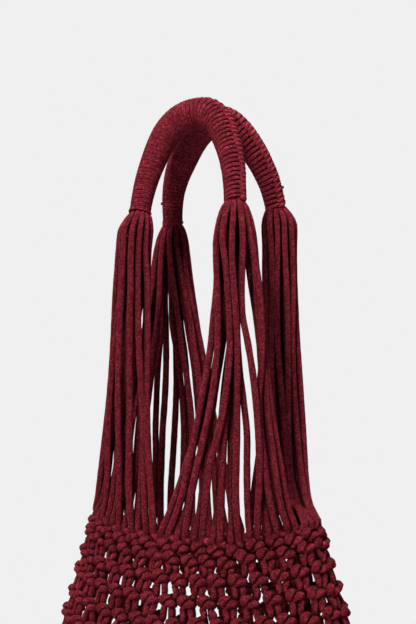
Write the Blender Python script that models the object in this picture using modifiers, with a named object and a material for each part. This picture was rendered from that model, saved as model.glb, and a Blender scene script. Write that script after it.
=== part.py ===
"""Knotted cotton tote, hanging by its two wrapped handles.

Metres, +Z up.  X runs along the bag's width, the front faces -Y.  The origin is the point that the
bag hangs from: on the underside of both handles, between them.
"""
import math

import bmesh
import bpy
from mathutils import Vector

# Cord: its thickness, and the room between cords where they leave the bundle
CORD_D = 0.0050
CORDS_PER_FAN = 16
CORD_ROOM = 0.0007
CORD_SIDES_RES = 1

# Handles: the arch of the wrapped bundle, from one wrapped end over the top to the other
FRONT_LEFT_SPREAD = 0.0385
FRONT_RIGHT_SPREAD = 0.0406
FRONT_RISE = 0.0770
BACK_LEFT_SPREAD = 0.0505
BACK_RIGHT_SPREAD = 0.0414
BACK_RISE = 0.0730
HANDLES_APART = 0.0008
END_OFFSET_Y = 0.0365
WRAP_END_D = 0.0160
WRAP_TOP_D = 0.0242
WRAP_WALL = 0.0026
WRAP_SIDES = 8
FIT = 0.0003
# Both handles rest on the hook, side by side
HANDLE_TOP_Z = WRAP_TOP_D / 2
TOP_OFFSET_Y = (WRAP_TOP_D + HANDLES_APART) / 2

# Below each wrapped end the bundle swells out over this length before the cords part
SWELL_LENGTH = 0.0140
BUNDLE_RADIUS = 2 * (CORD_D + CORD_ROOM) + CORD_D / 2

# Net: an oval that grows from the rim to the belly and closes in a flat seam at the bottom
RIM_Z = -0.3100
RIM_LEFT_LIFT = 0.0170
RIM_RIGHT_LIFT = 0.0120
RIM_HALF_WIDTH = 0.0950
RIM_HALF_DEPTH = 0.0400
RIM_BAND = 0.0090
BELLY_HALF_WIDTH = 0.1420
BELLY_HALF_DEPTH = 0.0620
SEAM_HALF_WIDTH = 0.0960
SEAM_HALF_DEPTH = 0.0090
NET_DROP = 0.2900
NET_WALL = 0.0070
MESH_BAR = 0.0080
NET_COLUMNS = 16
NET_ROWS = 7
# The front right fan's first cord meets the rim this far round from the middle of the front, towards -X
RIM_SHIFT = 0.0205
# The net hangs with its middle this far from the hook
NET_OFFSET_X = -0.0045

# Half arches, from the wrapped end to the top: (share of the spread, share of the rise)
ARCH_FRONT_LEFT = (
    (1.00, 0.00), (1.00, 0.16), (0.97, 0.34), (0.90, 0.52),
    (0.80, 0.70), (0.67, 0.84), (0.48, 0.94), (0.26, 0.99), (0.00, 1.00),
)
ARCH_FRONT_RIGHT = (
    (1.00, 0.00), (0.94, 0.17), (0.87, 0.34), (0.77, 0.51),
    (0.64, 0.67), (0.49, 0.82), (0.32, 0.93), (0.16, 0.985),
)
ARCH_BACK_LEFT = (
    (1.00, 0.00), (0.96, 0.17), (0.90, 0.33), (0.79, 0.50),
    (0.64, 0.66), (0.48, 0.80), (0.29, 0.92), (0.10, 0.99),
)
ARCH_BACK_RIGHT = (
    (1.00, 0.00), (0.97, 0.18), (0.92, 0.34), (0.83, 0.49),
    (0.71, 0.64), (0.56, 0.78), (0.37, 0.91), (0.19, 0.98), (0.03, 1.00),
)

# How far a cord has moved from the bundle to its knot, at shares of its drop:
# (share of the drop, share for cords to the middle of a side, share for cords to the ends)
CORD_SPREAD = (
    (0.00, 0.00, 0.00), (0.22, 0.05, 0.14), (0.42, 0.21, 0.22),
    (0.62, 0.52, 0.34), (0.83, 0.79, 0.61), (1.00, 1.00, 1.00),
)

# Sections of the net: (share of the drop, width share, depth share), from rim 0 to belly 1
NET_GROWTH = (
    (0.00, 0.00, 0.00), (0.14, 0.24, 0.29), (0.22, 0.39, 0.46), (0.35, 0.64, 0.73),
    (0.50, 0.90, 0.95), (0.64, 1.00, 1.00),
)
# Sections of the closing part: (share of the drop, width share, depth share), belly 1 to seam 0
NET_CLOSING = (
    (0.64, 1.00, 1.00), (0.76, 0.95, 0.90), (0.86, 0.78, 0.68), (0.94, 0.46, 0.36),
    (1.00, 0.00, 0.00),
)

CORD_COLOUR = (0.1144, 0.0116, 0.0168, 1.0)
WRAP_COLOUR = (0.1420, 0.0150, 0.0220, 1.0)
NET_COLOUR = (0.1000, 0.0100, 0.0145, 1.0)


for old in list(bpy.data.objects):
    bpy.data.objects.remove(old, do_unlink=True)

part = bpy.data.collections.new("macrame_tote")
cutters = bpy.data.collections.new("cord_strands")
bpy.context.scene.collection.children.link(part)
bpy.context.scene.collection.children.link(cutters)


def cotton(name, colour):
    made = bpy.data.materials.new(name)
    made.use_nodes = True
    shader = made.node_tree.nodes["Principled BSDF"]
    shader.inputs["Base Color"].default_value = colour
    shader.inputs["Roughness"].default_value = 0.95
    shader.inputs["Metallic"].default_value = 0.0
    return made


def read_table(rows, at, column):
    """Value of a table's column at a share, smooth through its rows."""
    count = len(rows)
    span = 0
    while span < count - 2 and at > rows[span + 1][0]:
        span += 1
    x0, x1 = rows[span][0], rows[span + 1][0]
    y0, y1 = rows[span][column], rows[span + 1][column]
    before = rows[max(span - 1, 0)]
    after = rows[min(span + 2, count - 1)]
    slope0 = (y1 - before[column]) / (x1 - before[0])
    slope1 = (after[column] - y0) / (after[0] - x0)
    u = (at - x0) / (x1 - x0)
    width = x1 - x0
    return (
        y0 * (1 + 2 * u) * (1 - u) ** 2
        + slope0 * width * u * (1 - u) ** 2
        + y1 * u * u * (3 - 2 * u)
        + slope1 * width * u * u * (u - 1)
    )


def tube(name, points, radii, sides_res, capped):
    """A round tube along points, with a radius at each."""
    curve = bpy.data.curves.new(name, "CURVE")
    curve.dimensions = "3D"
    curve.bevel_depth = 1.0
    curve.bevel_resolution = sides_res
    curve.use_fill_caps = capped
    line = curve.splines.new("POLY")
    line.points.add(len(points) - 1)
    for knot, point, radius in zip(line.points, points, radii):
        knot.co = (point.x, point.y, point.z, 1.0)
        knot.radius = radius
    made = bpy.data.objects.new(name, curve)
    part.objects.link(made)
    mesh = bpy.data.meshes.new_from_object(made.evaluated_get(bpy.context.evaluated_depsgraph_get()))
    bpy.data.objects.remove(made, do_unlink=True)
    bm = bmesh.new()
    bm.from_mesh(mesh)
    bmesh.ops.remove_doubles(bm, verts=bm.verts, dist=0.000001)
    bmesh.ops.recalc_face_normals(bm, faces=bm.faces)
    bm.to_mesh(mesh)
    bm.free()
    mesh.name = name
    return mesh


def oval(half_width, half_depth, along, shift=0.0):
    """Point of an oval at a share of its girth, from the middle of the front towards +X."""
    steps = 180
    lengths = [0.0]
    last = Vector((0.0, -half_depth))
    for step in range(1, steps + 1):
        angle = 2 * math.pi * step / steps - math.pi / 2
        here = Vector((half_width * math.cos(angle), half_depth * math.sin(angle)))
        lengths.append(lengths[-1] + (here - last).length)
        last = here
    girth = lengths[-1]
    want = (along - shift / girth) % 1.0 * girth
    step = 0
    while step < steps - 1 and lengths[step + 1] < want:
        step += 1
    part_of_step = (want - lengths[step]) / (lengths[step + 1] - lengths[step])
    angle = 2 * math.pi * (step + part_of_step) / steps - math.pi / 2
    place = Vector((half_width * math.cos(angle) + NET_OFFSET_X, half_depth * math.sin(angle)))
    return place, math.cos(angle)


def rim_lift(cosine):
    """The rim hangs lowest at the middle of the front and back, and higher towards both ends."""
    return (RIM_RIGHT_LIFT if cosine > 0 else RIM_LEFT_LIFT) * cosine ** 2


def arch(side, left_spread, right_spread, rise, left_rows, right_rows):
    """Centre points of a handle, from its left wrapped end over the top to its right one."""
    points = []
    for spread, rows, sign in ((left_spread, left_rows, -1), (right_spread, right_rows, 1)):
        half = []
        for spread_share, rise_share in rows:
            lean = TOP_OFFSET_Y + (END_OFFSET_Y - TOP_OFFSET_Y) * (1 - rise_share)
            x = sign * spread * spread_share
            z = HANDLE_TOP_Z - rise * (1 - rise_share)
            half.append(Vector((x, side * lean, z)))
        points += half if sign < 0 else half[::-1]
    return points


def wrap_radius(points):
    """Outer radius of the wrap at each point: thin at the ends, full at the top."""
    low = (points[0].z + points[-1].z) / 2
    top = max(point.z for point in points)
    radii = []
    for point in points:
        share = min(max((point.z - low) / (top - low), 0.0), 1.0)
        radii.append((WRAP_END_D + (WRAP_TOP_D - WRAP_END_D) * share ** 1.3) / 2)
    return radii


# Handle wraps.  A cord is wound tightly round the bundle, turn against turn, so the wrap is a
# hollow sleeve on the arch, thin at both ends and thick over the top.
def handle_wrap(name, points, material):
    radii = wrap_radius(points)
    mesh = tube(name, points, radii, (WRAP_SIDES - 4) // 2, False)
    mesh.materials.clear()
    mesh.materials.append(material)
    mesh.shade_smooth()
    made = bpy.data.objects.new(name, mesh)
    part.objects.link(made)
    wall = made.modifiers.new("wall", "SOLIDIFY")
    wall.thickness = WRAP_WALL
    wall.offset = -1.0
    wall.use_even_offset = True
    return made


# Cord bundles.  The cords run through the wrap as one tight bundle.  Past each wrapped end the
# bundle swells and parts into sixteen cords that hang down to the first row of knots.
def bundle_positions():
    """Places of the cords where they part: one in the middle, five and ten round it."""
    places = [Vector((0.0, 0.0))]
    for ring, count, turn in ((1, 5, 0.10), (2, 10, 0.60)):
        for place in range(count):
            angle = 2 * math.pi * (place / count) + turn
            radius = ring * (CORD_D + CORD_ROOM)
            places.append(Vector((radius * math.cos(angle), radius * math.sin(angle))))
    return places


def rim_end(cord):
    """Where a cord meets the rim.  Cords are counted from the first cord of the front right fan."""
    total = 4 * CORDS_PER_FAN
    flat, cosine = oval(RIM_HALF_WIDTH, RIM_HALF_DEPTH, (cord + 0.5) / total, RIM_SHIFT)
    z = RIM_Z + rim_lift(cosine) + RIM_BAND / 2 + 2 * FIT
    return Vector((flat.x, flat.y, z)), cosine


def cord_bundle(name, points, first_cords, material):
    flat = math.cos(math.pi / WRAP_SIDES)
    core = [radius * flat - WRAP_WALL - FIT for radius in wrap_radius(points)]
    path = list(points)
    bottoms = []
    for end, inner in ((0, 1), (-1, -2)):
        outward = (points[end] - points[inner]).normalized()
        heading = (outward + Vector((0, 0, -1.4))).normalized()
        neck = points[end] + outward * 2 * FIT
        middle = points[end] + outward * SWELL_LENGTH * 0.45
        bottom = points[end] + heading * SWELL_LENGTH
        bottoms.append(bottom)
        if end == 0:
            path = [bottom, middle, neck] + path
            core = [BUNDLE_RADIUS, BUNDLE_RADIUS * 0.75, core[0]] + core
        else:
            path = path + [neck, middle, bottom]
            core = core + [core[-1], BUNDLE_RADIUS * 0.75, BUNDLE_RADIUS]
    mesh = tube(name, path, core, 2, True)
    mesh.materials.clear()
    mesh.materials.append(material)
    made = bpy.data.objects.new(name, mesh)
    part.objects.link(made)

    strands = bpy.data.collections.new(name + "_strands")
    cutters.children.link(strands)
    for bottom, first in zip(bottoms, first_cords):
        ends = [rim_end(first + cord) for cord in range(CORDS_PER_FAN)]
        across = (ends[-1][0] - ends[0][0]).xy.normalized()
        aside = Vector((-across.y, across.x))
        places = sorted(bundle_positions(), key=lambda place: place.dot(across))
        for cord in range(CORDS_PER_FAN - 1):
            knots_apart = (ends[cord + 1][0] - ends[cord][0]).xy
            if (places[cord + 1] - places[cord]).dot(knots_apart) < 0:
                places[cord], places[cord + 1] = places[cord + 1], places[cord]
        for cord, place in enumerate(places):
            start = bottom + Vector((place.x, place.y, 0.0))
            end, cosine = ends[cord]
            line = [start + Vector((0, 0, SWELL_LENGTH * 0.4))]
            for share, to_middle, to_end in CORD_SPREAD:
                moved = to_middle + (to_end - to_middle) * cosine ** 2
                travel = (end - start).xy
                flat = start.xy + across * travel.dot(across) * moved
                flat += aside * travel.dot(aside) * moved ** 2
                line.append(Vector((flat.x, flat.y, start.z + (end.z - start.z) * share)))
            line.insert(-1, line[-1] + Vector((0, 0, CORD_D * 0.6)))
            strand_mesh = tube(name + "_strand", line, [CORD_D / 2] * len(line), CORD_SIDES_RES, True)
            strand = bpy.data.objects.new(name + "_strand", strand_mesh)
            strands.objects.link(strand)
            strand.display_type = "WIRE"
            strand.hide_render = True
    join = made.modifiers.new("strands", "BOOLEAN")
    join.operation = "UNION"
    join.operand_type = "COLLECTION"
    join.collection = strands
    join.solver = "EXACT"
    return made


# Net body.  A tube of knotted netting: a tight rim of knots, open diamonds between crossing
# cords, and a flat seam that closes the bottom.
def net_section(share):
    """Half width and half depth of the net at a share of its drop."""
    if share <= NET_CLOSING[0][0]:
        wide = read_table(NET_GROWTH, share, 1)
        deep = read_table(NET_GROWTH, share, 2)
        return (
            RIM_HALF_WIDTH + (BELLY_HALF_WIDTH - RIM_HALF_WIDTH) * wide,
            RIM_HALF_DEPTH + (BELLY_HALF_DEPTH - RIM_HALF_DEPTH) * deep,
        )
    wide = read_table(NET_CLOSING, share, 1)
    deep = read_table(NET_CLOSING, share, 2)
    return (
        SEAM_HALF_WIDTH + (BELLY_HALF_WIDTH - SEAM_HALF_WIDTH) * wide,
        SEAM_HALF_DEPTH + (BELLY_HALF_DEPTH - SEAM_HALF_DEPTH) * deep,
    )


def net_ring(bm, share, columns, turn, below_rim):
    """Points round the net at a share of its drop, each lifted as the rim is."""
    wide, deep = net_section(share)
    verts = []
    for column in range(columns):
        flat, cosine = oval(wide, deep, (column + turn) / columns)
        z = RIM_Z + rim_lift(cosine) * (1 - share) - below_rim
        verts.append(bm.verts.new((flat.x, flat.y, z)))
    return verts


def net_body(name, material):
    bm = bmesh.new()
    count = NET_COLUMNS
    mesh_drop = NET_DROP - RIM_BAND
    levels = NET_ROWS + 2
    rim = net_ring(bm, 0.0, 2 * count, 0.0, -RIM_BAND / 2)
    edge = net_ring(bm, 0.0, 2 * count, 0.0, RIM_BAND / 2)
    body = []
    for level in range(1, levels):
        share = level / (levels - 0.4)
        body.append(net_ring(bm, share, count, 0.5 * (level % 2), RIM_BAND / 2 + mesh_drop * share))
    seam = net_ring(bm, 1.0, count, 0.5 * ((levels - 1) % 2), NET_DROP - RIM_BAND / 2)
    for column in range(2 * count):
        following = (column + 1) % (2 * count)
        bm.faces.new((rim[column], edge[column], edge[following], rim[following]))
    for column in range(count):
        first, middle, last = (edge[(2 * column + step) % (2 * count)] for step in (0, 1, 2))
        bm.faces.new((first, body[0][column], last, middle))
    diamonds = []
    rings = [edge[::2]] + body
    for level in range(len(rings) - 1):
        upper, lower = rings[level], rings[level + 1]
        for column in range(count):
            left = lower[(column - 1 + level % 2) % count]
            right = lower[(column + level % 2) % count]
            if level < len(rings) - 2:
                diamonds.append(bm.faces.new((upper[column], left, rings[level + 2][column], right)))
            else:
                bm.faces.new((upper[column], left, right))
    for column in range(count):
        following = (column + 1) % count
        bm.faces.new((body[-1][column], seam[column], seam[following], body[-1][following]))
    bm.faces.new(seam)
    bmesh.ops.recalc_face_normals(bm, faces=bm.faces)
    bmesh.ops.inset_individual(bm, faces=diamonds, thickness=MESH_BAR / 2, use_even_offset=True)
    bmesh.ops.delete(bm, geom=diamonds, context="FACES_ONLY")
    mesh = bpy.data.meshes.new(name)
    bm.to_mesh(mesh)
    bm.free()
    mesh.materials.append(material)
    made = bpy.data.objects.new(name, mesh)
    part.objects.link(made)
    wall = made.modifiers.new("wall", "SOLIDIFY")
    wall.thickness = NET_WALL
    wall.offset = 0.0
    return made


front = arch(-1, FRONT_LEFT_SPREAD, FRONT_RIGHT_SPREAD, FRONT_RISE, ARCH_FRONT_LEFT, ARCH_FRONT_RIGHT)
back = arch(1, BACK_LEFT_SPREAD, BACK_RIGHT_SPREAD, BACK_RISE, ARCH_BACK_LEFT, ARCH_BACK_RIGHT)

wrap_cotton = cotton("wrap_cotton", WRAP_COLOUR)
cord_cotton = cotton("cord_cotton", CORD_COLOUR)
net_cotton = cotton("net_cotton", NET_COLOUR)

handle_wrap("handle_wrap_front", front, wrap_cotton)
handle_wrap("handle_wrap_back", back, wrap_cotton)
cord_bundle("cords_front", front, (-CORDS_PER_FAN, 0), cord_cotton)
cord_bundle("cords_back", back, (2 * CORDS_PER_FAN, CORDS_PER_FAN), cord_cotton)
net_body("net_body", net_cotton)
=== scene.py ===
import math
import random

import bmesh
import bpy
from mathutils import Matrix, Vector


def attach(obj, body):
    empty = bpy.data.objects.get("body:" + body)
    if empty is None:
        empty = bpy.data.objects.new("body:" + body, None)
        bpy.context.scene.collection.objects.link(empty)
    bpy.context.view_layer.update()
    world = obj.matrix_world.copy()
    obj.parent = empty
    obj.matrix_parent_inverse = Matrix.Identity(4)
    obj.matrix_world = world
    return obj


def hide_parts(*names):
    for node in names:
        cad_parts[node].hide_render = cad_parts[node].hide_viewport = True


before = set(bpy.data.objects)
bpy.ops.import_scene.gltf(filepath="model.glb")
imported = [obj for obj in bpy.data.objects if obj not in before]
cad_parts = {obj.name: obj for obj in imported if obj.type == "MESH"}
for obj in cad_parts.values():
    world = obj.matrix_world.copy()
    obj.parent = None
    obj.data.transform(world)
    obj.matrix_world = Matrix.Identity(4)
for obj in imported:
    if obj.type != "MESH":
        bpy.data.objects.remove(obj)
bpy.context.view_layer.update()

# Camera.  It stands in front of the bag, a little round to its right, level with the cords and
# tilted slightly up.
VIEW_DISTANCE = 0.880
VIEW_TURN = math.radians(27.0)
VIEW_HEIGHT = -0.229
VIEW_TILT = math.radians(5.9)
VIEW_LENS = 67.7
VIEW_SENSOR = 36.0

camera_data = bpy.data.cameras.new("camera")
camera_data.lens = VIEW_LENS
camera_data.sensor_width = VIEW_SENSOR
camera = bpy.data.objects.new("camera", camera_data)
camera.location = (
    VIEW_DISTANCE * math.sin(VIEW_TURN), -VIEW_DISTANCE * math.cos(VIEW_TURN), VIEW_HEIGHT,
)
camera.rotation_euler = (math.pi / 2 + VIEW_TILT, 0.0, VIEW_TURN)
bpy.context.scene.collection.objects.link(camera)
bpy.context.scene.camera = camera


# Handle wraps.  One soft cotton cord is wound tightly round each bundle over the arch of the
# handle, turn against turn.  Every turn is hitched over the one before it, and the hitches make
# a ridge of slanted lobes that runs over the top and down the outside of the right leg.
HANDLE_TOP_Z = 0.0121
TOP_OFFSET_Y = 0.0125
END_OFFSET_Y = 0.0365
WRAP_END_D = 0.0160
WRAP_TOP_D = 0.0242
WRAP_SWELL_POWER = 1.3
WRAP_WALL = 0.0026
# The back wrap is a little thicker part of the way up its left leg: by how much, and its middle
# and reach as shares of the handle's length
BACK_BULGE = 0.0011
BACK_BULGE_MIDDLE = 0.28
BACK_BULGE_REACH = 0.12
# How far short of their solids the wraps end on the right leg
FRONT_SHORTER = 0.0012
BACK_SHORTER = 0.0056
FRONT_LEFT_SPREAD = 0.0385
FRONT_RIGHT_SPREAD = 0.0406
FRONT_RISE = 0.0770
BACK_LEFT_SPREAD = 0.0505
BACK_RIGHT_SPREAD = 0.0414
BACK_RISE = 0.0730
# Each leg of an arch, from its wrapped end to the top: (share of the spread, share of the rise)
ARCH_FRONT_LEFT = (
    (1.00, 0.00), (1.00, 0.16), (0.97, 0.34), (0.90, 0.52),
    (0.80, 0.70), (0.67, 0.84), (0.48, 0.94), (0.26, 0.99), (0.00, 1.00),
)
ARCH_FRONT_RIGHT = (
    (1.00, 0.00), (0.94, 0.17), (0.87, 0.34), (0.77, 0.51),
    (0.64, 0.67), (0.49, 0.82), (0.32, 0.93), (0.16, 0.985),
)
ARCH_BACK_LEFT = (
    (1.00, 0.00), (0.96, 0.17), (0.90, 0.33), (0.79, 0.50),
    (0.64, 0.66), (0.48, 0.80), (0.29, 0.92), (0.10, 0.99),
)
ARCH_BACK_RIGHT = (
    (1.00, 0.00), (0.97, 0.18), (0.92, 0.34), (0.83, 0.49),
    (0.71, 0.64), (0.56, 0.78), (0.37, 0.91), (0.19, 0.98), (0.03, 1.00),
)
# How far apart the points of a handle's line lie, and over how many its direction is taken
LINE_STEP = 0.0004
DIRECTION_STEPS = 6
# Shares of the handle's length over which its look changes from the left leg's to the right's
RIGHT_LEG_FROM = 0.40
RIGHT_LEG_CHANGE = 0.16

# The wound cord's pitch and thickness.  A turn fills this share of the pitch, and more over the
# top, so that fewer lines show there
LEFT_PITCH = 0.00155
RIGHT_PITCH = 0.00185
TURN_STEPS = 24
TURN_THINNEST = 0.0008
TURN_THICKEST = 0.0022
TURN_UNEVEN = 0.06
TURN_FILL = 0.62
TOP_FILL = 0.24
TOP_FILL_MIDDLE = 0.42
TOP_FILL_REACH = 0.15
# The length over which the arch's bend is taken, and how aslant the turns lie down the right leg
# and at the start of the front wrap
BEND_REACH = 0.004
RIGHT_LEG_SLANT = 0.0007
FRONT_START_SLANT = 0.0014
FRONT_START_LENGTH = 0.012
# The first and the last turns are looser, over these lengths, and stand out a little
LOOSE_START_LENGTH = 0.003
LOOSE_START = 3
LOOSE_END_LENGTH = 0.010
LOOSE_RISE = 0.0003

# The ridge: its angle from the outward side on each handle, how far it lags at the left end, and
# the lobes that cross it
RIDGE_DEGREES_FRONT = 8
RIDGE_DEGREES_BACK = 24
RIDGE_LAG_DEGREES = 30
RIDGE_LAG_FADE = 2.2
RIDGE_RISE = 0.0003
RIDGE_END_RISE = 0.0005
RIDGE_END_THICKER = 0.0005
RIDGE_END_LENGTH = 0.012
LOBE_STEPS = 8
LOBE_FROM_DEGREES = 24
LOBE_SWEEP_DEGREES = 64
LOBE_RADIUS = 0.0010
LOBE_FALL = 0.0021
# The turns draw together two by two, by these shares of the pitch and round the notch over these
# shares of a turn
DRAWN_LEFT = 0.07
DRAWN_RIGHT = 0.23
DRAWN_BEFORE = 0.10
DRAWN_PAST = 0.30
NOTCH_LEFT_DEGREES = 85

# The cut ends that stick out of the wrap: (share of the handle's length, degrees from the outward
# side, metres further down)
FRONT_TAILS = ((0.0, 196, 0.0012),)
BACK_TAILS = ((0.085, 36, 0.0), (0.925, -18, 0.0))
TAIL_ROOT = 0.0020
TAIL_LENGTH = 0.0030
TAIL_DROOP = 0.0008
TAIL_RADII = (0.0012, 0.0012, 0.0008)


def arch(side, left_spread, right_spread, rise, left_rows, right_rows):
    """Centre points of a handle, from its left wrapped end over the top to its right one."""
    points = []
    for spread, rows, sign in ((left_spread, left_rows, -1), (right_spread, right_rows, 1)):
        half = []
        for spread_share, rise_share in rows:
            lean = TOP_OFFSET_Y + (END_OFFSET_Y - TOP_OFFSET_Y) * (1 - rise_share)
            half.append(Vector((
                sign * spread * spread_share, side * lean, HANDLE_TOP_Z - rise * (1 - rise_share),
            )))
        points += half if sign < 0 else half[::-1]
    return points


def smooth_line(points, values, spacing):
    """Points and values on a smooth line through the given ones, about this far apart."""
    line, along = [], []
    count = len(points)
    for span in range(count - 1):
        a, b = points[span], points[span + 1]
        before = points[span - 1] if span else a * 2 - b
        after = points[span + 2] if span < count - 2 else b * 2 - a
        steps = max(1, math.ceil((b - a).length / spacing))
        for step in range(steps):
            t = step / steps
            point = 0.5 * (
                2 * a + (b - before) * t + (2 * before - 5 * a + 4 * b - after) * t * t
                + (3 * a - before - 3 * b + after) * t ** 3
            )
            line.append(point)
            along.append(values[span] + (values[span + 1] - values[span]) * t)
    return line + [points[-1]], along + [values[-1]]


def add_cord(bm, points, radii, sides):
    """A round cord along the points.  Its UV map holds (share of its girth, metres along it)."""
    curve = bpy.data.curves.new("cord", "CURVE")
    curve.dimensions = "3D"
    curve.bevel_depth = 1.0
    curve.bevel_resolution = (sides - 4) // 2
    curve.use_fill_caps = True
    line = curve.splines.new("POLY")
    line.points.add(len(points) - 1)
    for stop, point, radius in zip(line.points, points, radii):
        stop.co = (point.x, point.y, point.z, 1.0)
        stop.radius = radius
    made = bpy.data.objects.new("cord", curve)
    bpy.context.scene.collection.objects.link(made)
    mesh = bpy.data.meshes.new_from_object(
        made.evaluated_get(bpy.context.evaluated_depsgraph_get())
    )
    length = sum((b - a).length for a, b in zip(points, points[1:]))
    for corner in mesh.uv_layers[0].uv:
        corner.vector.y *= length
    bm.from_mesh(mesh)
    bpy.data.objects.remove(made, do_unlink=True)
    bpy.data.curves.remove(curve)
    bpy.data.meshes.remove(mesh)


def finish_piece(name, bm, material, slot, *nodes):
    """Makes the piece from its cords and gives it its material and its place in the frame."""
    bmesh.ops.remove_doubles(bm, verts=bm.verts, dist=0.000002)
    bmesh.ops.recalc_face_normals(bm, faces=bm.faces)
    for face in bm.faces:
        face.smooth = len(face.verts) == 4
    mesh = bpy.data.meshes.new(name)
    bm.to_mesh(mesh)
    bm.free()
    mesh.materials.clear()
    mesh.materials.append(material)
    piece = bpy.data.objects.new(name, mesh)
    bpy.context.scene.collection.objects.link(piece)
    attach(piece, "root")
    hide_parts(*nodes)


# The cotton's lint and its dusty patches: their scales, how high the lint stands, and the patches'
# share of the fluff
LINT_SCALE = 800.0
LINT_HEIGHT = 1.2
PATCH_SCALE = 260.0
PATCH_SHARE = 0.25


def knit_group():
    """Knitted cotton: columns of small V stitches round a cord, painted shade in the grooves
    between them, and a heathered, dusty colour.
    """
    group = bpy.data.node_groups.new("knitted_cotton", "ShaderNodeTree")
    for name, kind, start in (
        ("Columns", "NodeSocketFloat", 7.0),
        ("Stitch Length", "NodeSocketFloat", 0.0021),
        ("Stitch Slant", "NodeSocketFloat", 0.8),
        ("Colour", "NodeSocketColor", (0.2, 0.02, 0.03, 1.0)),
        ("Groove Shade Colour", "NodeSocketColor", (0.05, 0.005, 0.008, 1.0)),
        ("Fluff Colour", "NodeSocketColor", (0.3, 0.05, 0.07, 1.0)),
    ):
        socket = group.interface.new_socket(name, in_out="INPUT", socket_type=kind)
        socket.default_value = start
    group.interface.new_socket("Colour", in_out="OUTPUT", socket_type="NodeSocketColor")
    group.interface.new_socket("Height", in_out="OUTPUT", socket_type="NodeSocketFloat")
    nodes, links = group.nodes, group.links

    def put(kind, operation=None, **values):
        """A node with its inputs _0, _1 and so on set to numbers or joined to other nodes."""
        node = nodes.new(kind)
        if operation:
            node.operation = operation
        for key, value in values.items():
            socket = node.inputs[int(key[1:])]
            if hasattr(value, "is_output"):
                links.new(value, socket)
            else:
                socket.default_value = value
        return node

    given = nodes.new("NodeGroupInput").outputs
    made = nodes.new("NodeGroupOutput").inputs
    uv = nodes.new("ShaderNodeUVMap")
    uv.uv_map = "UVMap"
    parts = put("ShaderNodeSeparateXYZ", _0=uv.outputs[0]).outputs
    place = nodes.new("ShaderNodeTexCoord").outputs["Object"]

    column = put("ShaderNodeMath", "MULTIPLY", _0=parts[0], _1=given["Columns"]).outputs[0]
    column = put("ShaderNodeMath", "FRACT", _0=column).outputs[0]
    off_middle = put("ShaderNodeMath", "SUBTRACT", _0=column, _1=0.5).outputs[0]
    off_middle = put("ShaderNodeMath", "ABSOLUTE", _0=off_middle).outputs[0]
    stitch = put("ShaderNodeMath", "DIVIDE", _0=parts[1], _1=given["Stitch Length"]).outputs[0]
    slant = put("ShaderNodeMath", "MULTIPLY", _0=off_middle, _1=given["Stitch Slant"]).outputs[0]
    phase = put("ShaderNodeMath", "ADD", _0=stitch, _1=slant).outputs[0]
    phase = put("ShaderNodeMath", "MULTIPLY", _0=phase, _1=2 * math.pi).outputs[0]
    wave = put("ShaderNodeMath", "COSINE", _0=phase).outputs[0]
    wave = put("ShaderNodeMath", "MULTIPLY_ADD", _0=wave, _1=0.5, _2=0.5).outputs[0]
    wave = put("ShaderNodeMath", "POWER", _0=wave, _1=0.7).outputs[0]
    leg = put("ShaderNodeMath", "MULTIPLY", _0=off_middle, _1=2 * math.pi).outputs[0]
    leg = put("ShaderNodeMath", "SINE", _0=leg).outputs[0]
    leg = put("ShaderNodeMath", "MULTIPLY_ADD", _0=leg, _1=0.55, _2=0.45).outputs[0]
    stitches = put("ShaderNodeMath", "MULTIPLY", _0=wave, _1=leg).outputs[0]

    lint = nodes.new("ShaderNodeTexNoise")
    links.new(place, lint.inputs["Vector"])
    lint.inputs["Scale"].default_value = LINT_SCALE
    lint.inputs["Detail"].default_value = 3.0
    patches = nodes.new("ShaderNodeTexNoise")
    links.new(place, patches.inputs["Vector"])
    patches.inputs["Scale"].default_value = PATCH_SCALE
    patches.inputs["Detail"].default_value = 4.0
    height = put(
        "ShaderNodeMath", "MULTIPLY_ADD", _0=lint.outputs["Fac"], _1=LINT_HEIGHT, _2=stitches)
    links.new(height.outputs[0], made["Height"])

    def mix(share, first, second, low, high):
        """The first colour up to the low share, the second from the high one on."""
        ramp = nodes.new("ShaderNodeMapRange")
        ramp.inputs["From Min"].default_value = low
        ramp.inputs["From Max"].default_value = high
        links.new(share, ramp.inputs["Value"])
        node = nodes.new("ShaderNodeMix")
        node.data_type = "RGBA"
        links.new(ramp.outputs["Result"], node.inputs["Factor"])
        links.new(first, node.inputs[6])
        links.new(second, node.inputs[7])
        return node.outputs[2]

    # Painted shade: where the knit is low, between the stitches and between the columns, the
    # colour goes to the dark groove shade
    colour = mix(stitches, given["Groove Shade Colour"], given["Colour"], low=-0.10, high=0.60)
    fluff = put("ShaderNodeMath", "MULTIPLY", _0=patches.outputs["Fac"], _1=PATCH_SHARE)
    fluff = put(
        "ShaderNodeMath", "MULTIPLY_ADD",
        _0=lint.outputs["Fac"], _1=1 - PATCH_SHARE, _2=fluff.outputs[0])
    colour = mix(fluff.outputs[0], colour, given["Fluff Colour"], low=0.44, high=0.66)
    links.new(colour, made["Colour"])
    return group


knitted_cotton = knit_group()

# Painted shade: down between the cords the colour is darkened where shade falls: how far up the
# hollows this reaches, between which shares of openness, and the darkest painted shade
PAINTED_SHADE_REACH = 0.008
PAINTED_SHADE_BELOW = 0.30
UNSHADED_ABOVE = 0.85
PAINTED_SHADE_DARKEST = 0.12
PAINTED_SHADE_SAMPLES = 6


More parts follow.
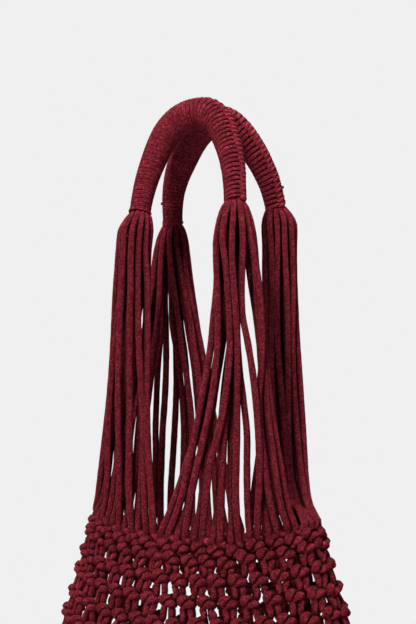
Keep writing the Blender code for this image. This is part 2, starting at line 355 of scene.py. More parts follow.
def cotton(name, colour, groove_shade, fluff, columns, stitch_length, slant, relief):
    """A soft, dull cotton with its own knit: columns round the cord, stitches along it, and
    painted shade in the knit's grooves and down between the cords.
    """
    material = bpy.data.materials.new(name)
    material.use_nodes = True
    nodes, links = material.node_tree.nodes, material.node_tree.links
    shader = nodes["Principled BSDF"]
    knit = nodes.new("ShaderNodeGroup")
    knit.node_tree = knitted_cotton
    knit.inputs["Columns"].default_value = columns
    knit.inputs["Stitch Length"].default_value = stitch_length
    knit.inputs["Stitch Slant"].default_value = slant
    knit.inputs["Colour"].default_value = colour
    knit.inputs["Groove Shade Colour"].default_value = groove_shade
    knit.inputs["Fluff Colour"].default_value = fluff
    bump = nodes.new("ShaderNodeBump")
    bump.inputs["Strength"].default_value = 1.0
    bump.inputs["Distance"].default_value = relief
    links.new(knit.outputs["Height"], bump.inputs["Height"])
    # Painted shade: an occlusion mask darkens the colour in the hollows between the cords, where
    # shade falls
    occlusion_for_shade = nodes.new("ShaderNodeAmbientOcclusion")
    occlusion_for_shade.inputs["Distance"].default_value = PAINTED_SHADE_REACH
    occlusion_for_shade.samples = PAINTED_SHADE_SAMPLES
    occlusion_for_shade.only_local = True
    painted_shade_factor = nodes.new("ShaderNodeMapRange")
    painted_shade_factor.inputs["From Min"].default_value = PAINTED_SHADE_BELOW
    painted_shade_factor.inputs["From Max"].default_value = UNSHADED_ABOVE
    painted_shade_factor.inputs["To Min"].default_value = PAINTED_SHADE_DARKEST
    links.new(occlusion_for_shade.outputs["AO"], painted_shade_factor.inputs["Value"])
    shade = nodes.new("ShaderNodeMix")
    shade.data_type = "RGBA"
    shade.blend_type = "MULTIPLY"
    shade.inputs["Factor"].default_value = 1.0
    links.new(knit.outputs["Colour"], shade.inputs[6])
    links.new(painted_shade_factor.outputs["Result"], shade.inputs[7])
    links.new(shade.outputs[2], shader.inputs["Base Color"])
    links.new(bump.outputs["Normal"], shader.inputs["Normal"])
    shader.inputs["Roughness"].default_value = 0.92
    shader.inputs["Specular IOR Level"].default_value = 0.04
    return material


wrap_cotton = cotton(
    "wrap_cotton", colour=(0.182, 0.0126, 0.0214, 1), groove_shade=(0.045, 0.002, 0.004, 1),
    fluff=(0.330, 0.034, 0.054, 1), columns=5, stitch_length=0.0012, slant=0.8, relief=0.0005,
)


class HandleLine:
    """The centre line of a handle, with its wrap's radius and its outward and sideways axes."""

    def __init__(self, points, side, shorter):
        low = (points[0].z + points[-1].z) / 2
        top = max(point.z for point in points)
        radii = []
        for point in points:
            share = min(max((point.z - low) / (top - low), 0.0), 1.0)
            wider = (WRAP_TOP_D - WRAP_END_D) * share ** WRAP_SWELL_POWER
            radii.append((WRAP_END_D + wider) / 2)
        self.points, self.radii = smooth_line(points, radii, LINE_STEP)
        if side > 0:
            middle = BACK_BULGE_MIDDLE * len(self.points)
            reach = BACK_BULGE_REACH * len(self.points)
            self.radii = [
                radius + BACK_BULGE * math.exp(-((number - middle) / reach) ** 2)
                for number, radius in enumerate(self.radii)
            ]
        keep = len(self.points) - round(shorter / LINE_STEP)
        self.points, self.radii = self.points[:keep], self.radii[:keep]
        self.along = [0.0]
        for a, b in zip(self.points, self.points[1:]):
            self.along.append(self.along[-1] + (b - a).length)
        self.length = self.along[-1]
        self.side = side

    def at(self, distance):
        """Centre, radius, direction, outward axis and axis to the front at a distance along."""
        distance = min(max(distance, 0.0), self.length)
        low, high = 0, len(self.along) - 2
        while low < high:
            middle = (low + high + 1) // 2
            if self.along[middle] <= distance:
                low = middle
            else:
                high = middle - 1
        share = (distance - self.along[low]) / (self.along[low + 1] - self.along[low])
        centre = self.points[low].lerp(self.points[low + 1], share)
        radius = self.radii[low] + (self.radii[low + 1] - self.radii[low]) * share
        before = self.points[max(low - DIRECTION_STEPS, 0)]
        after = self.points[min(low + DIRECTION_STEPS + 1, len(self.points) - 1)]
        direction = (after - before).normalized()
        to_front = Vector((0.0, -1.0, 0.0))
        to_front = (to_front - direction * to_front.dot(direction)).normalized()
        outward = to_front.cross(direction)
        return centre, radius, direction, outward, to_front


def on_right_leg(share):
    """0 over the left leg and the top, 1 down the right leg."""
    share = min(max((share - RIGHT_LEG_FROM) / RIGHT_LEG_CHANGE, 0.0), 1.0)
    return share * share * (3 - 2 * share)


def ridge_angle(line, share):
    """Angle of the ridge along the handle, from the outward side towards the front."""
    settled = RIDGE_DEGREES_FRONT if line.side < 0 else RIDGE_DEGREES_BACK
    return math.radians(settled - RIDGE_LAG_DEGREES * max(1 - share * RIDGE_LAG_FADE, 0.0))


def wind_handle(name, line, tails, node):
    """The wound cord, its ridge of hitches, and the cut ends that stick out of it."""
    bm = bmesh.new()
    # One list of draws serves the turns and, further on in it, the lobes
    rng = random.Random(7 if line.side < 0 else 8)
    wobble = [rng.uniform(-1, 1) for _ in range(260)]
    points, radii, lobe_starts = [], [], []
    distance, step = 0.0, 0
    while distance < line.length:
        turn = step / TURN_STEPS
        share = distance / line.length
        centre, radius, direction, outward, to_front = line.at(distance)
        angle = 2 * math.pi * turn
        right_leg = on_right_leg(share)
        loose = max(1 - (line.length - distance) / LOOSE_END_LENGTH, 0.0) * right_leg
        loose += LOOSE_START * max(1 - distance / LOOSE_START_LENGTH, 0.0)
        slanted = FRONT_START_SLANT if line.side < 0 else 0.0
        slanted *= max(1 - distance / FRONT_START_LENGTH, 0.0)
        pitch = LEFT_PITCH + (RIGHT_PITCH - LEFT_PITCH) * right_leg
        this_one, next_one = wobble[int(turn)], wobble[int(turn) + 1]
        uneven = this_one + (next_one - this_one) * (turn % 1.0)
        uneven *= 0.5 + 0.5 * right_leg + loose
        away = outward * math.cos(angle) + to_front * math.sin(angle)
        # The turns lie closer on the inside of the arch than on the outside
        ahead, behind = distance + BEND_REACH, distance - BEND_REACH
        bend = line.at(ahead)[2] - line.at(behind)[2]
        bend /= min(ahead, line.length) - max(behind, 0.0)
        local_pitch = pitch * (1 - bend.dot(away * radius))
        over_top = math.exp(-((share - TOP_FILL_MIDDLE) / TOP_FILL_REACH) ** 2)
        thick = local_pitch * (TURN_FILL + TOP_FILL * over_top)
        thick = min(max(thick, TURN_THINNEST), TURN_THICKEST) * (1 + TURN_UNEVEN * uneven)
        # The turns draw together two by two: most beside the ridge, where they leave dark slots
        notch_turn = LOBE_FROM_DEGREES + NOTCH_LEFT_DEGREES * (1 - right_leg)
        notch_turn = (ridge_angle(line, share) + math.radians(notch_turn)) / (2 * math.pi)
        drawn = math.cos(math.pi * (turn - notch_turn)) * (DRAWN_LEFT + DRAWN_RIGHT * right_leg)
        beyond = (turn - notch_turn + 0.5) % 1.0 - 0.5
        drawn_reach = DRAWN_BEFORE if beyond < 0 else DRAWN_PAST
        drawn *= math.exp(-(beyond / drawn_reach) ** 2 * right_leg)
        if step and int((turn - notch_turn - 0.5) / 2) > int(last_turn / 2):
            lobe_starts.append(distance)
        last_turn = turn - notch_turn - 0.5
        points.append(
            centre + away * (radius - thick + 0.0001 * uneven + LOOSE_RISE * loose)
            + direction * (
                drawn * local_pitch - RIGHT_LEG_SLANT * right_leg * math.cos(angle)
                + 0.00012 * uneven - slanted * (1 - math.cos(angle)) / 2
            )
        )
        radii.append(thick)
        step += 1
        distance += pitch / TURN_STEPS
    add_cord(bm, points, radii, 8)

    for number, start in enumerate(lobe_starts):
        share = start / line.length
        right_leg = on_right_leg(share)
        middle = ridge_angle(line, share) + math.radians(5 * wobble[number + 130])
        near_end = max(1 - (line.length - start) / RIDGE_END_LENGTH, 0.0) * right_leg
        rise = RIDGE_RISE * (0.3 + 0.7 * right_leg) * (1 + 0.4 * wobble[number + 60])
        rise += RIDGE_END_RISE * near_end
        lobe, thickness = [], []
        for step in range(LOBE_STEPS + 1):
            t = step / LOBE_STEPS
            angle = middle + math.radians(LOBE_FROM_DEGREES - LOBE_SWEEP_DEGREES * t)
            centre, radius, direction, outward, to_front = line.at(
                start + 0.0009 - LOBE_FALL * t + 0.0003 * wobble[number])
            away = outward * math.cos(angle) + to_front * math.sin(angle)
            hump = math.sin(math.pi * (0.06 + 0.88 * t)) ** 0.5
            thick = LOBE_RADIUS + (LOBE_RADIUS + RIDGE_END_THICKER * near_end) * hump
            sunk = LOBE_RADIUS * (1 - hump)
            lobe.append(centre + away * (radius - thick + rise * hump - sunk))
            thickness.append(thick)
        add_cord(bm, lobe, thickness, 8)

    for share, degrees, below in tails:
        centre, radius, direction, outward, to_front = line.at(share * line.length)
        centre -= direction * below
        angle = math.radians(degrees)
        away = outward * math.cos(angle) + to_front * math.sin(angle)
        root = centre + away * (radius - TAIL_ROOT)
        tip = root + away * TAIL_LENGTH + direction * TAIL_DROOP
        add_cord(bm, [root, root.lerp(tip, 0.8), tip], TAIL_RADII, 8)
    finish_piece(name, bm, wrap_cotton, "wrap_cotton", node)


front_arch = arch(
    -1, FRONT_LEFT_SPREAD, FRONT_RIGHT_SPREAD, FRONT_RISE, ARCH_FRONT_LEFT, ARCH_FRONT_RIGHT)
back_arch = arch(
    1, BACK_LEFT_SPREAD, BACK_RIGHT_SPREAD, BACK_RISE, ARCH_BACK_LEFT, ARCH_BACK_RIGHT)
front_line = HandleLine(front_arch, -1, FRONT_SHORTER)
back_line = HandleLine(back_arch, 1, BACK_SHORTER)
wind_handle("handle_wrap_of_front_cord", front_line, FRONT_TAILS, "handle_wrap_front")
wind_handle("handle_wrap_of_back_cord", back_line, BACK_TAILS, "handle_wrap_back")


# Hanging cords.  Sixteen cotton cords run through each handle as one bundle.  Past each of its
# wrapped ends the bundle swells and parts into its sixteen cords, which hang down and spread out
# to the first row of knots.
CORD_D = 0.0050
CORD_ROOM = 0.0007
CORDS_PER_FAN = 16
CORDS_ROUND = 4 * CORDS_PER_FAN
# Below a wrapped end the bundle swells: over which length, how strongly it turns downwards, how
# near the wrap's end it starts, and by which share of the drop the swell has gone
SWELL_LENGTH = 0.0140
SWELL_DOWN = 1.4
SWELL_OUT = 0.0050
SWELL_FADE = 0.45
# In points of the handle's line: over how many its end's direction is taken, and how far apart
# the points of the bundle inside the wrap are
END_POINTS = 11
BUNDLE_STEP = 14
# Where the cords part: (distance from the bundle's middle in cords, how many, turn in radians)
BUNDLE_RINGS = ((0.8, 4, 0.10), (2.0, 12, 0.30))
RIM_Z = -0.3100
RIM_LEFT_LIFT = 0.0170
RIM_RIGHT_LIFT = 0.0120
RIM_HALF_WIDTH = 0.0950
RIM_HALF_DEPTH = 0.0400
# The rim's girth, and how far to the left of the middle of the front its first cord lies
RIM_GIRTH = 0.4429
RIM_SHIFT = 0.0182
# Where the rim is a little high and a little low: (middle and reach as shares of the girth)
RIM_HIGH = (-0.016, 0.045)
RIM_LOW = (0.128, 0.030)
RIM_WAVE = 0.0028
NET_OFFSET_X = -0.0045
# Where an even and an odd cord end in their knot, as shares of the way to the next cord, how far
# above the rim, and how far inwards
INTO_KNOT_EVEN = 0.42
INTO_KNOT_ODD = 0.28
INTO_KNOT_RISE = 0.0010
INTO_KNOT_IN = 0.0042
INTO_KNOT_FURTHER_IN = 0.0014
# How far a cord sways on its way down, and how many cord widths above its knot it hangs straight
SWAY = 0.0012
STRAIGHT_ABOVE_KNOT = 1.3
# How far the cords have parted inside the wrap, at its end, just below it, and at the bottom of
# the swell, and how thick they are there
PARTED = (0.36, 0.44, 0.70, 0.97)
THICK_PARTING = (0.72, 0.76, 0.88, 0.94)
# Their thickness at the top of the drop, what it gains down to the knot, and above and in the knot
THICK_HANGING = 0.94
THICK_GAIN = 0.13
THICK_ABOVE_KNOT = 1.06
THICK_IN_KNOT = 0.76
# How far a cord has moved from the bundle to its knot: (share of the drop, share for the fan's
# first, tenth and last cord), counted round the rim from the front towards +X
SPREAD_FRONT_LEFT = (
    (0.00, 0.00, 0.00, 0.00), (0.10, 0.02, 0.03, 0.06), (0.22, 0.10, 0.14, 0.20),
    (0.42, 0.26, 0.30, 0.46), (0.62, 0.42, 0.50, 0.72), (0.83, 0.56, 0.72, 0.90),
    (0.92, 0.76, 0.87, 0.96), (1.00, 1.00, 1.00, 1.00),
)
SPREAD_FRONT_RIGHT = (
    (0.00, 0.00, 0.00, 0.00), (0.10, 0.00, 0.08, 0.05), (0.22, 0.01, 0.20, 0.18),
    (0.42, 0.12, 0.42, 0.37), (0.62, 0.36, 0.60, 0.46), (0.83, 0.68, 0.80, 0.68),
    (0.92, 0.87, 0.92, 0.84), (1.00, 1.00, 1.00, 1.00),
)
SPREAD_BACK_RIGHT = (
    (0.00, 0.00, 0.00, 0.00), (0.10, 0.00, 0.00, 0.02), (0.22, 0.00, 0.02, 0.06),
    (0.42, 0.02, 0.08, 0.22), (0.62, 0.08, 0.20, 0.52), (0.83, 0.16, 0.42, 0.79),
    (0.92, 0.38, 0.62, 0.92), (1.00, 1.00, 1.00, 1.00),
)
SPREAD_BACK_LEFT = (
    (0.00, 0.00, 0.00, 0.00), (0.10, 0.03, 0.14, 0.12), (0.22, 0.13, 0.38, 0.30),
    (0.42, 0.33, 0.70, 0.54), (0.62, 0.55, 0.92, 0.80), (0.83, 0.80, 1.00, 0.95),
    (0.92, 0.92, 1.00, 0.98), (1.00, 1.00, 1.00, 1.00),
)
# Where single cords stand aside and leave slots: (cord, from this share of the drop, to this one,
# how far towards the fan's last cord)
ASIDE_FRONT_LEFT = (
    (6, -0.06, 0.22, 0.0028), (8, -0.06, 0.20, -0.0006), (9, -0.06, 0.20, 0.0006),
    (11, 0.14, 0.30, -0.0009), (12, 0.14, 0.30, 0.0009),
)
ASIDE_FRONT_RIGHT = (
    (3, 0.10, 0.80, 0.0035), (5, 0.06, 0.76, 0.0085), (6, 0.34, 0.76, -0.0012),
    (8, 0.18, 0.52, -0.0015), (9, 0.10, 0.52, 0.0020), (10, 0.12, 0.62, -0.0056),
    (11, 0.12, 0.40, -0.0016), (11, 0.34, 0.94, 0.0056), (12, 0.18, 0.95, 0.0034),
    (13, 0.04, 0.55, 0.0042),
)
ASIDE_BACK_LEFT = (
    (6, 0.40, 0.92, -0.0026), (7, 0.30, 0.96, -0.0036), (8, 0.30, 0.96, -0.0056),
    (9, 0.34, 0.95, -0.0034), (10, 0.16, 0.64, -0.0015), (11, 0.18, 0.58, 0.0029),
    (11, 0.62, 1.00, -0.0026), (12, 0.14, 0.70, -0.0018),
)
ASIDE_BACK_RIGHT = ((5, 0.10, 0.60, -0.0007), (6, 0.10, 0.60, 0.0007))
# The shares of the drop at which a cord's place is set
HANG_SHARES = (0.06, 0.13, 0.21, 0.30, 0.39, 0.48, 0.57, 0.66, 0.75, 0.84, 0.92)
MIDDLE_CORD = 9

cord_cotton = cotton(
    "cord_cotton", colour=(0.192, 0.0131, 0.0222, 1), groove_shade=(0.045, 0.002, 0.004, 1),
    fluff=(0.400, 0.039, 0.062, 1), columns=10, stitch_length=0.0017, slant=0.8, relief=0.0006,
)


def oval(half_width, half_depth, along):
    """Place on an oval at a share of its girth from the first cord on, and its cosine."""
    steps = 240
    lengths = [0.0]
    last = Vector((0.0, -half_depth))
    for step in range(1, steps + 1):
        angle = 2 * math.pi * step / steps - math.pi / 2
        here = Vector((half_width * math.cos(angle), half_depth * math.sin(angle)))
        lengths.append(lengths[-1] + (here - last).length)
        last = here
    want = (along - RIM_SHIFT / RIM_GIRTH) % 1.0 * lengths[-1]
    step = 0
    while step < steps - 1 and lengths[step + 1] < want:
        step += 1
    part_of_step = (want - lengths[step]) / (lengths[step + 1] - lengths[step])
    angle = 2 * math.pi * (step + part_of_step) / steps - math.pi / 2
    place = Vector((half_width * math.cos(angle) + NET_OFFSET_X, half_depth * math.sin(angle)))
    return place, math.cos(angle)


def rim_lift(cosine):
    """The rim hangs lowest at the middle of the front and back, and higher towards both ends."""
    return (RIM_RIGHT_LIFT if cosine > 0 else RIM_LEFT_LIFT) * cosine ** 2


def rim_wave(along):
    """The rim is not quite even: a little high in one place and a little low in another."""
    from_first = (along + 0.5) % 1.0 - 0.5
    high = math.exp(-((from_first - RIM_HIGH[0]) / RIM_HIGH[1]) ** 2)
    low = math.exp(-((from_first - RIM_LOW[0]) / RIM_LOW[1]) ** 2)
    return RIM_WAVE * high - RIM_WAVE * low


def bundle_places():
    """Places of the cords where they part: four in the middle and twelve round them."""
    places = []
    for ring, count, turn in BUNDLE_RINGS:
        for place in range(count):
            angle = 2 * math.pi * (place / count) + turn
            radius = ring * (CORD_D + CORD_ROOM)
            places.append(Vector((radius * math.cos(angle), radius * math.sin(angle))))
    return places


def stand_aside(moves, cord, share):
    """How far a cord stands aside from its even way at a share of the drop."""
    aside = 0.0
    for number, start, stop, shift in moves:
        if number == cord and start < share < stop:
            aside += shift * math.sin(math.pi * (share - start) / (stop - start)) ** 0.8
    return aside


def hang_cords(name, line, at_right_end, first, spread, moves, lean, swell, node):
    """The sixteen cords below one wrapped end, from the given first one on round the rim."""
    bm = bmesh.new()
    end = line.points[-1] if at_right_end else line.points[0]
    inner = line.points[-1 - END_POINTS] if at_right_end else line.points[END_POINTS]
    outward = (end - inner).normalized()
    heading = (outward + Vector((0, 0, -SWELL_DOWN))).normalized()
    bottom = end + heading * SWELL_LENGTH + Vector((lean, 0, 0))
    ends, inwards = [], []
    for cord in range(CORDS_PER_FAN):
        into_knot = INTO_KNOT_EVEN if cord % 2 == 0 else INTO_KNOT_ODD
        along = (first + cord + into_knot) / CORDS_ROUND
        flat, cosine = oval(RIM_HALF_WIDTH, RIM_HALF_DEPTH, along)
        lift = rim_lift(cosine) + rim_wave(along)
        ends.append(Vector((flat.x, flat.y, RIM_Z + lift + INTO_KNOT_RISE)))
        inwards.append(Vector((
            (NET_OFFSET_X - flat.x) / RIM_HALF_WIDTH ** 2, -flat.y / RIM_HALF_DEPTH ** 2, 0.0,
        )).normalized())
        ends[-1] += inwards[-1] * INTO_KNOT_IN
    across = (ends[-1] - ends[0]).xy.normalized()
    aside = Vector((-across.y, across.x))
    places = sorted(bundle_places(), key=lambda place: place.dot(across))
    # Where the rim turns, two neighbours may have to change places so as not to cross
    for cord in range(CORDS_PER_FAN - 1):
        knots_apart = (ends[cord + 1] - ends[cord]).xy
        if (places[cord + 1] - places[cord]).dot(knots_apart) < 0:
            places[cord], places[cord + 1] = places[cord + 1], places[cord]
    for cord, place in enumerate(places):
        rng = random.Random(100 + first * 3 + cord)
        offset = Vector((place.x, place.y, 0.0))
        offset *= rng.uniform(0.92, 1.08)
        end_point = ends[cord]
        start = bottom + offset
        route = [
            end - outward * SWELL_OUT + offset * PARTED[0], end + offset * PARTED[1],
            end + outward * SWELL_OUT + offset * PARTED[2],
            bottom + offset * PARTED[3] - Vector((lean, 0, 0)) * 0.3,
        ]
        turns = rng.uniform(0, 2 * math.pi), rng.uniform(0, 2 * math.pi)
        for share in HANG_SHARES:
            row = 0
            while share > spread[row + 1][0]:
                row += 1
            above, below = spread[row:row + 2]
            between = (share - above[0]) / (below[0] - above[0])
            to_first, to_middle, to_last = (
                a + (b - a) * between for a, b in zip(above[1:], below[1:]))
            if cord < MIDDLE_CORD:
                moved = to_first + (to_middle - to_first) * cord / MIDDLE_CORD
            else:
                past = (to_last - to_middle) * (cord - MIDDLE_CORD)
                moved = to_middle + past / (CORDS_PER_FAN - 1 - MIDDLE_CORD)
            travel = (end_point - start).xy
            flat = start.xy + across * travel.dot(across) * moved
            flat += aside * travel.dot(aside) * moved ** 2
            flat += across * stand_aside(moves, cord, share)
            flat += offset.xy * swell * max(1 - share / SWELL_FADE, 0.0)
            sway = SWAY * min(share * 6, (1 - share) * 6, 1.0)
            flat += sway * Vector((
                math.cos(turns[0] + 6.5 * share), math.sin(turns[1] + 8.0 * share)))
            route.append(Vector((flat.x, flat.y, start.z + (end_point.z - start.z) * share)))
        route.append(end_point + Vector((0, 0, CORD_D * STRAIGHT_ABOVE_KNOT)))
        route.append(end_point + inwards[cord] * INTO_KNOT_FURTHER_IN)
        thick = rng.uniform(0.95, 1.04)
        radii = [CORD_D / 2 * scale * thick for scale in THICK_PARTING]
        radii += [
            CORD_D / 2 * thick * (THICK_HANGING + THICK_GAIN * share) for share in HANG_SHARES]
        radii += [CORD_D / 2 * thick * THICK_ABOVE_KNOT, CORD_D / 2 * THICK_IN_KNOT]
        points, radii = smooth_line(route, radii, 0.005)
        radii = [radius * rng.uniform(0.965, 1.035) for radius in radii]
        add_cord(bm, points, radii, 12)
    finish_piece(name, bm, cord_cotton, "cord_cotton", node)


def run_bundle(name, line, node):
    """The cords inside the wrap."""
    bm = bmesh.new()
    radii = [radius - WRAP_WALL for radius in line.radii[::BUNDLE_STEP]]
    add_cord(bm, line.points[::BUNDLE_STEP], radii, 16)
    finish_piece(name, bm, cord_cotton, "cord_cotton", node)


hang_cords(
    "cords_front_left", front_line, False, -16, SPREAD_FRONT_LEFT, ASIDE_FRONT_LEFT,
    lean=-0.0030, swell=-0.04, node="cords_front")
hang_cords(
    "cords_front_right", front_line, True, 0, SPREAD_FRONT_RIGHT, ASIDE_FRONT_RIGHT,
    lean=0.0, swell=0.12, node="cords_front")
hang_cords(
    "cords_back_right", back_line, True, 16, SPREAD_BACK_RIGHT, ASIDE_BACK_RIGHT,
    lean=0.0015, swell=-0.06, node="cords_back")
hang_cords(
    "cords_back_left", back_line, False, 32, SPREAD_BACK_LEFT, ASIDE_BACK_LEFT,
    lean=-0.001, swell=0.05, node="cords_back")
run_bundle("bundle_in_front_wrap", front_line, "cords_front")
run_bundle("bundle_in_back_wrap", back_line, "cords_back")


# Net.  The sixty-four cotton cords of the four fans run on and are knotted two by two, row below
# row, each row half a knot beside the one above.  In every knot one cord hitches round the other
# and is hitched in turn, so each knot shows two fat slanted loops.
NET_DROP = 0.2900
BELLY_HALF_WIDTH = 0.1420
BELLY_HALF_DEPTH = 0.0620
SEAM_HALF_WIDTH = 0.0960
SEAM_HALF_DEPTH = 0.0090
# Half width and half depth on the way from the rim to the belly, and on to the seam: (share of
# the drop, share of the change in width, in depth)
NET_GROWTH = (
    (0.00, 0.00, 0.00), (0.14, 0.24, 0.29), (0.22, 0.39, 0.46), (0.35, 0.64, 0.73),
    (0.50, 0.90, 0.95), (0.64, 1.00, 1.00),
)
NET_CLOSING = (
    (0.64, 1.00, 1.00), (0.76, 0.95, 0.90), (0.86, 0.78, 0.68), (0.94, 0.46, 0.36),
    (1.00, 0.00, 0.00),
)
KNOTS_PER_ROW = CORDS_ROUND // 2
ROW_PITCH = 0.0149
ROW_DROPS = [0.0, 0.0072, 0.0212] + [0.0360 + ROW_PITCH * row for row in range(17)]
# How far above the seam the last row lies, how far down the rim's unevenness has gone, and over
# which distance a knot's axes are taken
LAST_ROW_RISE = 0.004
WAVE_FADE = 0.05
AXIS_REACH = 0.003
# How unevenly the knots lie, and how far inside the net's surface, more so near the rim
KNOT_ASIDE = 0.0010
KNOT_UP = 0.0009
KNOT_TILT = 0.15
KNOT_INSET = 0.0014
RIM_KNOT_INSET = 0.0026
RIM_KNOT_FADE = 0.06
# All in millimetres from a knot's middle: how far its cords reach up and down, how far where the
# next row is close, and how much further left the first row's right cord comes in
KNOT_REACH = 6.0
CLOSE_REACH = 3.7
FIRST_ROW_IN = 3.4
MILLIMETRE = 0.001
# The right and the left cord's way through a knot: (to the right, up, outwards, share of the
# cord's radius).  The first and last places are where the cord comes in and goes out.
RIGHT_CORD = (
    (5.2, 6.0, 0.0, 1.00), (5.0, 3.2, -0.4, 0.95), (3.4, 0.8, -2.0, 0.80),
    (-0.6, -0.8, -3.2, 0.75), (-3.6, -2.2, -2.2, 0.85), (-4.2, -1.8, 0.2, 1.05),
    (-4.0, -0.7, 2.3, 1.20), (-3.4, 0.5, 3.2, 1.24), (-2.5, 1.5, 2.7, 1.19),
    (-0.8, 2.1, 1.2, 1.00), (1.4, 1.2, -0.8, 0.80), (3.0, -1.2, -0.6, 0.85),
    (3.5, -3.4, -0.3, 0.98), (3.4, -6.0, 0.0, 1.00),
)
LEFT_CORD = (
    (-4.6, 6.0, -0.2, 1.00), (-4.5, 3.2, -0.6, 0.92), (-3.2, 0.8, -0.4, 0.75),
    (-0.4, -1.2, -2.0, 0.75), (2.4, -2.2, -3.0, 0.75), (4.6, -2.4, -1.4, 0.90),
    (4.7, -1.8, 1.2, 1.05), (3.8, -1.5, 2.8, 1.08), (2.7, -1.8, 3.1, 1.08),
    (1.2, -2.5, 2.2, 1.00), (-0.8, -3.2, 0.6, 0.90), (-2.4, -4.2, -0.1, 0.95),
    (-2.7, -6.0, 0.0, 1.00),
)

net_cotton = cotton(
    "net_cotton", colour=(0.190, 0.0129, 0.0222, 1), groove_shade=(0.045, 0.002, 0.004, 1),
    fluff=(0.400, 0.039, 0.062, 1), columns=10, stitch_length=0.0017, slant=0.8, relief=0.0006,
)


def read_table(rows, at, column):
    """Value of a table's column at a share, smooth through its rows."""
    count = len(rows)
    span = 0
    while span < count - 2 and at > rows[span + 1][0]:
        span += 1
    x0, x1 = rows[span][0], rows[span + 1][0]
    y0, y1 = rows[span][column], rows[span + 1][column]
    before = rows[max(span - 1, 0)]
    after = rows[min(span + 2, count - 1)]
    slope0 = (y1 - before[column]) / (x1 - before[0])
    slope1 = (after[column] - y0) / (after[0] - x0)
    u = (at - x0) / (x1 - x0)
    width = x1 - x0
    return (
        y0 * (1 + 2 * u) * (1 - u) ** 2
        + slope0 * width * u * (1 - u) ** 2
        + y1 * u * u * (3 - 2 * u)
        + slope1 * width * u * u * (u - 1)
    )


def net_point(drop, along):
    """Place on the net this far down from the first knots, at a share of the girth."""
    share = min(drop / NET_DROP, 1.0)
    if share <= NET_CLOSING[0][0]:
        wide = read_table(NET_GROWTH, share, 1)
        deep = read_table(NET_GROWTH, share, 2)
        half_width = RIM_HALF_WIDTH + (BELLY_HALF_WIDTH - RIM_HALF_WIDTH) * wide
        half_depth = RIM_HALF_DEPTH + (BELLY_HALF_DEPTH - RIM_HALF_DEPTH) * deep
    else:
        wide = read_table(NET_CLOSING, share, 1)
        deep = read_table(NET_CLOSING, share, 2)
        half_width = SEAM_HALF_WIDTH + (BELLY_HALF_WIDTH - SEAM_HALF_WIDTH) * wide
        half_depth = SEAM_HALF_DEPTH + (BELLY_HALF_DEPTH - SEAM_HALF_DEPTH) * deep
    flat, cosine = oval(half_width, half_depth, along)
    wave = rim_wave(along) * max(1 - drop / WAVE_FADE, 0.0)
    return Vector((flat.x, flat.y, RIM_Z + rim_lift(cosine) * (1 - share) + wave - drop))


class Knot:
    """Place and axes of one knot of the net."""

    def __init__(self, row, number):
        along = (2 * number + 1 + row % 2) / CORDS_ROUND
        drop = min(ROW_DROPS[row], NET_DROP - LAST_ROW_RISE)
        rng = random.Random(row * 1000 + number % KNOTS_PER_ROW)
        self.centre = net_point(drop, along)
        before, after = (net_point(drop, along + way) for way in (-AXIS_REACH, AXIS_REACH))
        self.right = (after - before).normalized()
        above = net_point(max(drop - AXIS_REACH, 0), along)
        below = net_point(drop + AXIS_REACH, along)
        self.up = (above - below).normalized()
        self.out = self.right.cross(self.up).normalized()
        self.up = self.out.cross(self.right)
        inset = KNOT_INSET + RIM_KNOT_INSET * max(1 - drop / RIM_KNOT_FADE, 0.0)
        self.centre += self.right * rng.uniform(-KNOT_ASIDE, KNOT_ASIDE)
        self.centre -= self.out * inset
        self.centre += self.up * rng.uniform(-KNOT_UP, KNOT_UP)
        tilt = rng.uniform(-KNOT_TILT, KNOT_TILT)
        self.right, self.up = (
            self.right * math.cos(tilt) + self.up * math.sin(tilt),
            self.up * math.cos(tilt) - self.right * math.sin(tilt),
        )
        self.first_row = row == 0
        self.highest = CLOSE_REACH if row == 1 else KNOT_REACH
        self.lowest = -CLOSE_REACH if row == 0 else -KNOT_REACH

    def place(self, right, up, out):
        """Where a point of the knot lies, given in millimetres along its axes."""
        if up == KNOT_REACH and self.first_row and right > 0:
            right -= FIRST_ROW_IN
        up = min(max(up, self.lowest), self.highest)
        way = self.right * right + self.up * up + self.out * out
        return self.centre + way * MILLIMETRE


knots = {}
for row in range(len(ROW_DROPS)):
    for number in range(KNOTS_PER_ROW):
        knots[row, number] = Knot(row, number)


def knot_cord(bm, number):
    """One cord's way through every row of knots."""
    pair, second = divmod(number, 2)
    route, radii = [], []
    for row in range(len(ROW_DROPS)):
        if second:
            on_right, column = row % 2 == 0, pair
        else:
            on_right, column = row % 2 == 1, pair - row % 2
        knot = knots[row, column % KNOTS_PER_ROW]
        for right, up, out, scale in (RIGHT_CORD if on_right else LEFT_CORD):
            route.append(knot.place(right, up, out))
            radii.append(CORD_D / 2 * scale)
    points, radii = smooth_line(route, radii, 0.0026)
    add_cord(bm, points, radii, 8)


for name, first in (("front_right", 0), ("back_right", 16), ("back_left", 32), ("front_left", 48)):
    bm = bmesh.new()
    for number in range(first, first + CORDS_PER_FAN):
        knot_cord(bm, number)
    finish_piece("net_cords_" + name, bm, net_cotton, "net_cotton", "net_body")


# Floor and light.  A pale studio: a plain round floor below the bag, a bright even backdrop, a
# soft light high in front, a second one over the top, and a faint one low in front.
FLOOR_Z = -0.66
FLOOR_RADIUS = 1.6

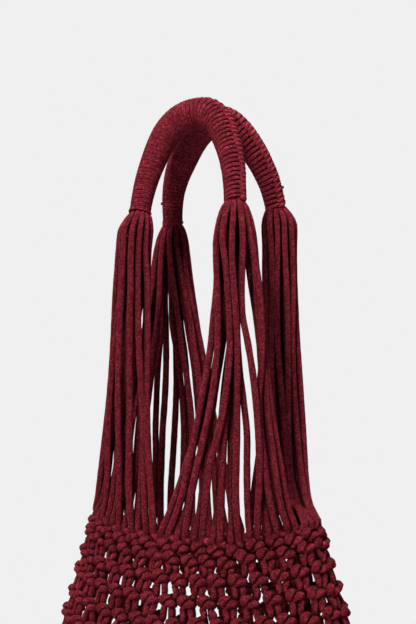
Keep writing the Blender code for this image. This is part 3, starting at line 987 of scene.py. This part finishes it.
floor_bm = bmesh.new()
bmesh.ops.create_circle(floor_bm, cap_ends=True, segments=96, radius=FLOOR_RADIUS)
bmesh.ops.translate(floor_bm, verts=floor_bm.verts, vec=(0, 0, FLOOR_Z))
floor_mesh = bpy.data.meshes.new("floor")
floor_bm.to_mesh(floor_mesh)
floor_bm.free()
floor_material = bpy.data.materials.new("floor")
floor_material.use_nodes = True
floor_shader = floor_material.node_tree.nodes["Principled BSDF"]
floor_shader.inputs["Base Color"].default_value = (0.70, 0.70, 0.70, 1)
floor_shader.inputs["Roughness"].default_value = 0.9
floor_mesh.materials.append(floor_material)
floor = bpy.data.objects.new("floor", floor_mesh)
bpy.context.scene.collection.objects.link(floor)

world = bpy.data.worlds.new("studio")
bpy.context.scene.world = world
world.use_nodes = True
world_nodes, world_links = world.node_tree.nodes, world.node_tree.links
backdrop = world_nodes["Background"]
backdrop.inputs["Color"].default_value = (0.871, 0.871, 0.871, 1)
surroundings = world_nodes.new("ShaderNodeBackground")
surroundings.inputs["Color"].default_value = (1.0, 1.0, 1.0, 1)
surroundings.inputs["Strength"].default_value = 0.04
seen = world_nodes.new("ShaderNodeLightPath")
choose = world_nodes.new("ShaderNodeMixShader")
world_links.new(seen.outputs["Is Camera Ray"], choose.inputs[0])
world_links.new(surroundings.outputs[0], choose.inputs[1])
world_links.new(backdrop.outputs[0], choose.inputs[2])
world_links.new(choose.outputs[0], world_nodes["World Output"].inputs["Surface"])

bpy.context.scene.view_settings.view_transform = "Standard"


def soft_light(name, place, aim, size, power):
    """A round soft light that looks at its aim."""
    data = bpy.data.lights.new(name, "AREA")
    data.shape = "DISK"
    data.size = size
    data.energy = power
    lamp = bpy.data.objects.new(name, data)
    lamp.location = place
    lamp.rotation_euler = (Vector(aim) - Vector(place)).to_track_quat("-Z", "Y").to_euler()
    bpy.context.scene.collection.objects.link(lamp)


soft_light("key_light", (0.14, -1.57, 1.23), (0, 0, -0.2), 0.36, 80)
soft_light("top_light", (0.0, -0.28, 1.95), (0, 0, -0.2), 0.60, 76)
soft_light("fill_light", (0.5, -1.7, -0.5), (0, 0, -0.1), 1.0, 2)
